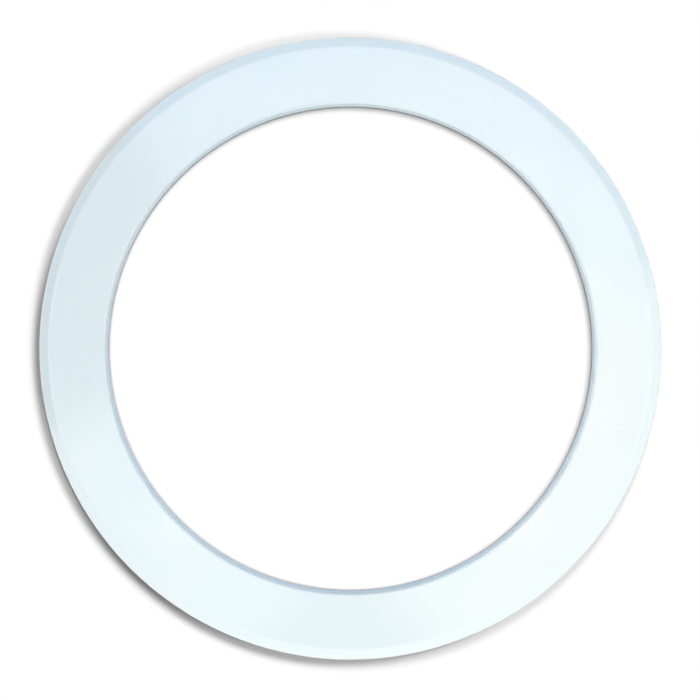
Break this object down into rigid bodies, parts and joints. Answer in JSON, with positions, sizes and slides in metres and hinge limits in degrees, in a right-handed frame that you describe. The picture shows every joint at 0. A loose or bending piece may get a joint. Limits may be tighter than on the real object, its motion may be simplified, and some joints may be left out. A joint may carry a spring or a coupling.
{
  "type": "flat throwing ring",
  "caption": "Flat hollow plastic ring with a bevelled outer edge and a rounded hand hole, moulded as half shells that are welded together, for throwing, catching and spinning.",
  "frame": {"origin": "centre of the hand hole on the plane of the rear face", "axes": "+Z along the ring's axis, out of the front face; X and Y lie in the plane of the ring"},
  "size_m": [0.32, 0.32, 0.008],
  "materials": {
    "shell_plastic": "smooth semi-gloss moulded plastic, pale ice blue, with fine wear along the edges"
  },
  "bodies": {
    "root": {"front_shell": "shell_plastic", "rear_shell": "shell_plastic"}
  },
  "joints": []
}
